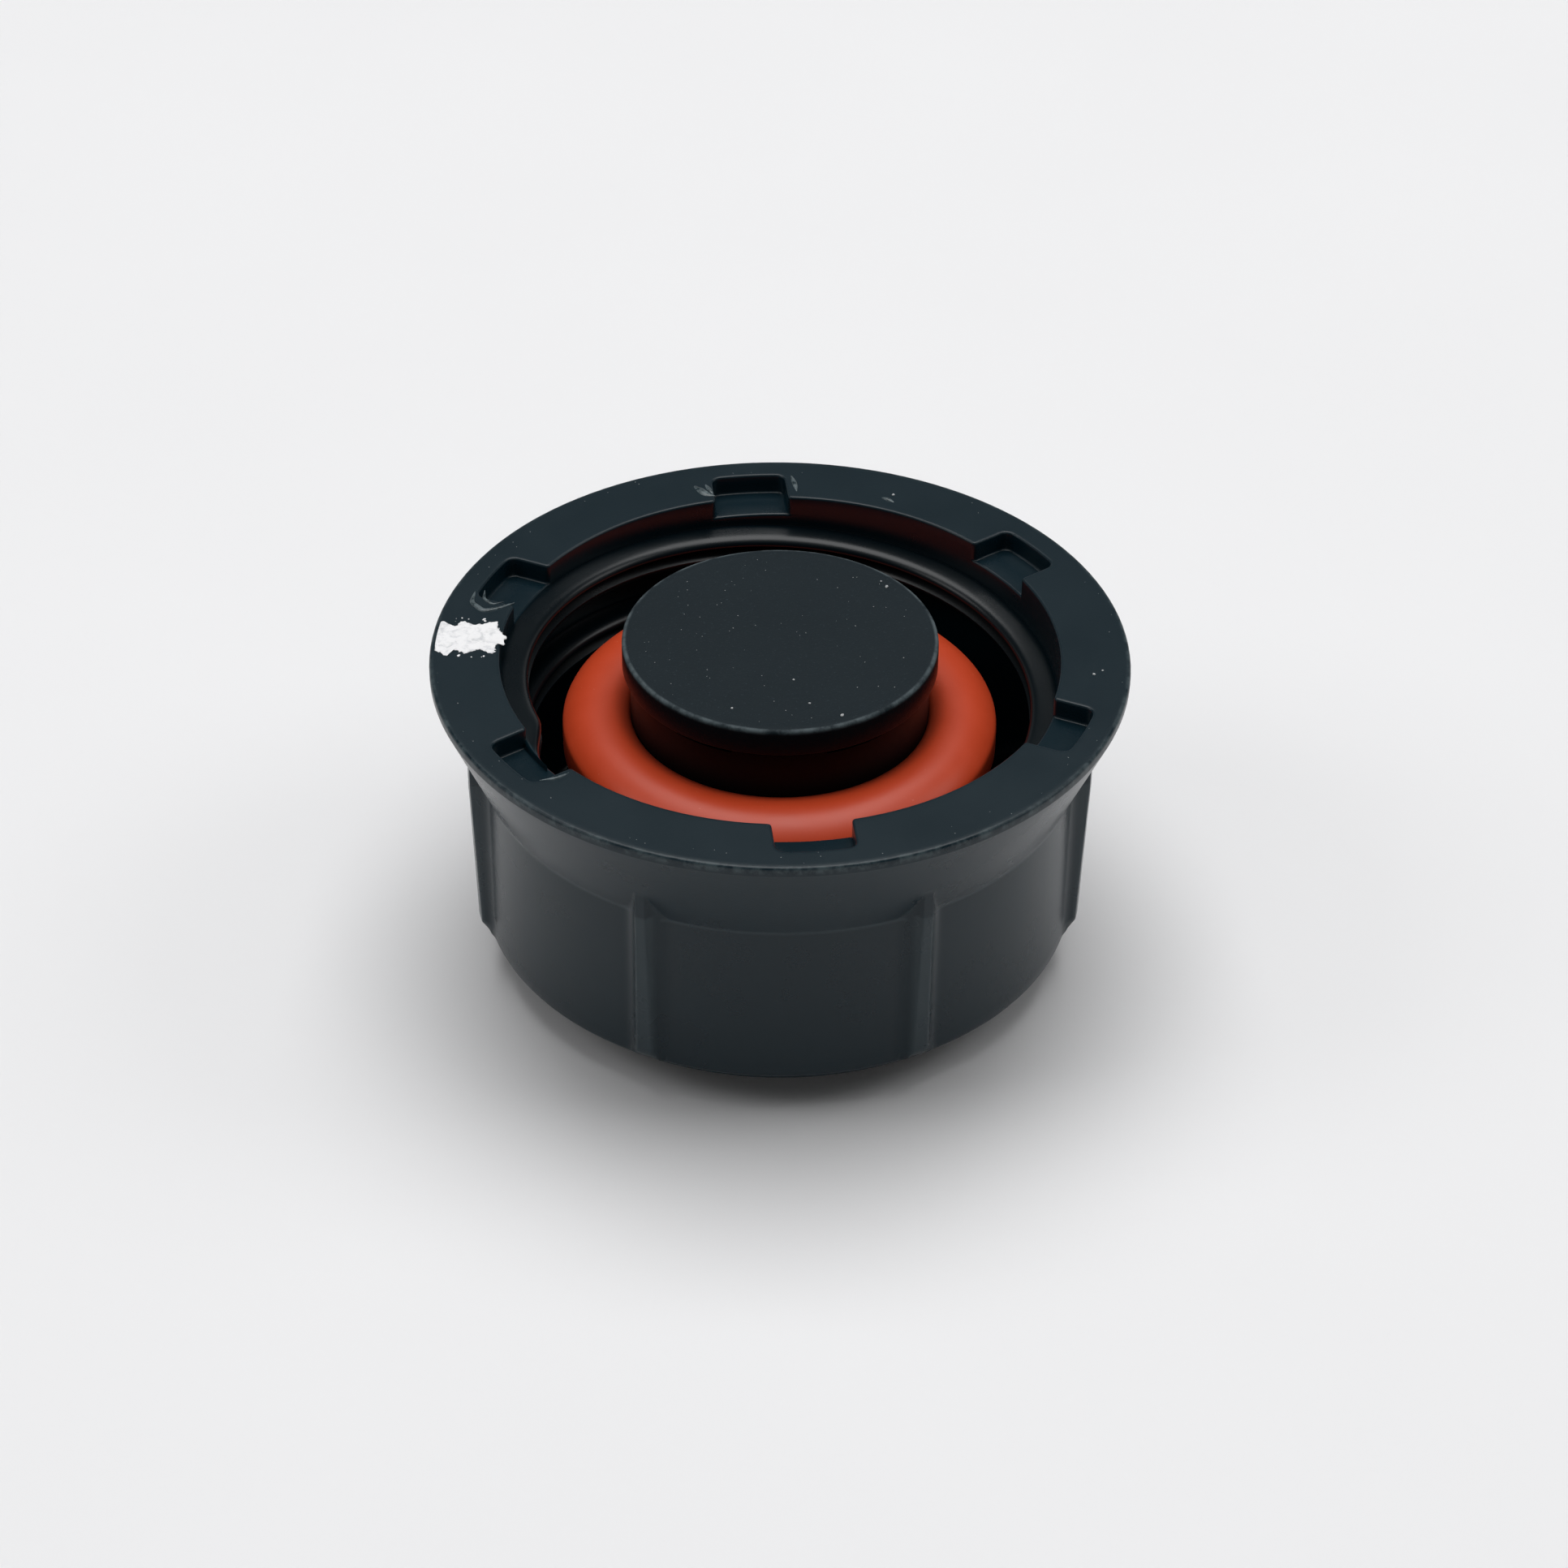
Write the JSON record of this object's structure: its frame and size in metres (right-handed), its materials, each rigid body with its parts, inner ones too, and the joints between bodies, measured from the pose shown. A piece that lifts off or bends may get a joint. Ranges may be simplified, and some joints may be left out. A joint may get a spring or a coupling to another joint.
{
  "type": "coolant reservoir cap",
  "caption": "Screw cap for a coolant reservoir: ridged skirt, flared rim with notches, orange neck seal and a swivelling plug that holds a sprung pressure valve and a vacuum valve.",
  "frame": {"origin": "centre of the face that the crown rests on, with the mouth upwards", "axes": "+Z along the cap's axis and out of the mouth, -Y towards the side that the picture shows"},
  "size_m": [0.062, 0.062, 0.032],
  "materials": {
    "cap_plastic": "satin moulded plastic with fine wear on the rim",
    "housing_plastic": "smooth dark moulded plastic",
    "cover_plastic": "matt moulded plastic with a fine grain",
    "orange_silicone": "smooth silicone with a soft sheen",
    "black_rubber": "moulded rubber",
    "white_nylon": "natural nylon",
    "seat_plastic": "moulded plastic",
    "spring_steel": "drawn wire",
    "washer_steel": "stamped steel",
    "valve_brass": "turned brass"
  },
  "bodies": {
    "cap": {"cap_body": "cap_plastic", "slip_washer": "white_nylon"},
    "insert": {"valve_housing": "housing_plastic", "neck_seal": "orange_silicone", "end_cover": "cover_plastic", "housing_o_ring": "black_rubber", "retaining_ring": "spring_steel", "spring_seat": "seat_plastic", "main_spring": "spring_steel"},
    "pressure_valve": {"pressure_valve_plate": "valve_brass", "pressure_valve_seal": "black_rubber", "seal_clamp_washer": "washer_steel", "vacuum_spring": "spring_steel"},
    "vacuum_valve": {"vacuum_valve_button": "valve_brass", "vacuum_valve_seal": "black_rubber", "stem_push_nut": "washer_steel"}
  },
  "joints": [
    {"name": "insert_swivel", "type": "hinge", "parent": "cap", "child": "insert", "pos_m": [0, 0, 0.018], "axis": [0, 0, 1], "continuous": true},
    {"name": "pressure_valve_lift", "type": "slide", "parent": "insert", "child": "pressure_valve", "axis": [0, 0, -1], "range_m": [0, 0.0025], "stiffness_N_per_m": 4000, "springref_m": -0.0075, "deforming": ["main_spring"]},
    {"name": "vacuum_valve_lift", "type": "slide", "parent": "pressure_valve", "child": "vacuum_valve", "axis": [0, 0, 1], "range_m": [0, 0.0015], "stiffness_N_per_m": 150, "springref_m": -0.0033, "deforming": ["vacuum_spring"]}
  ]
}
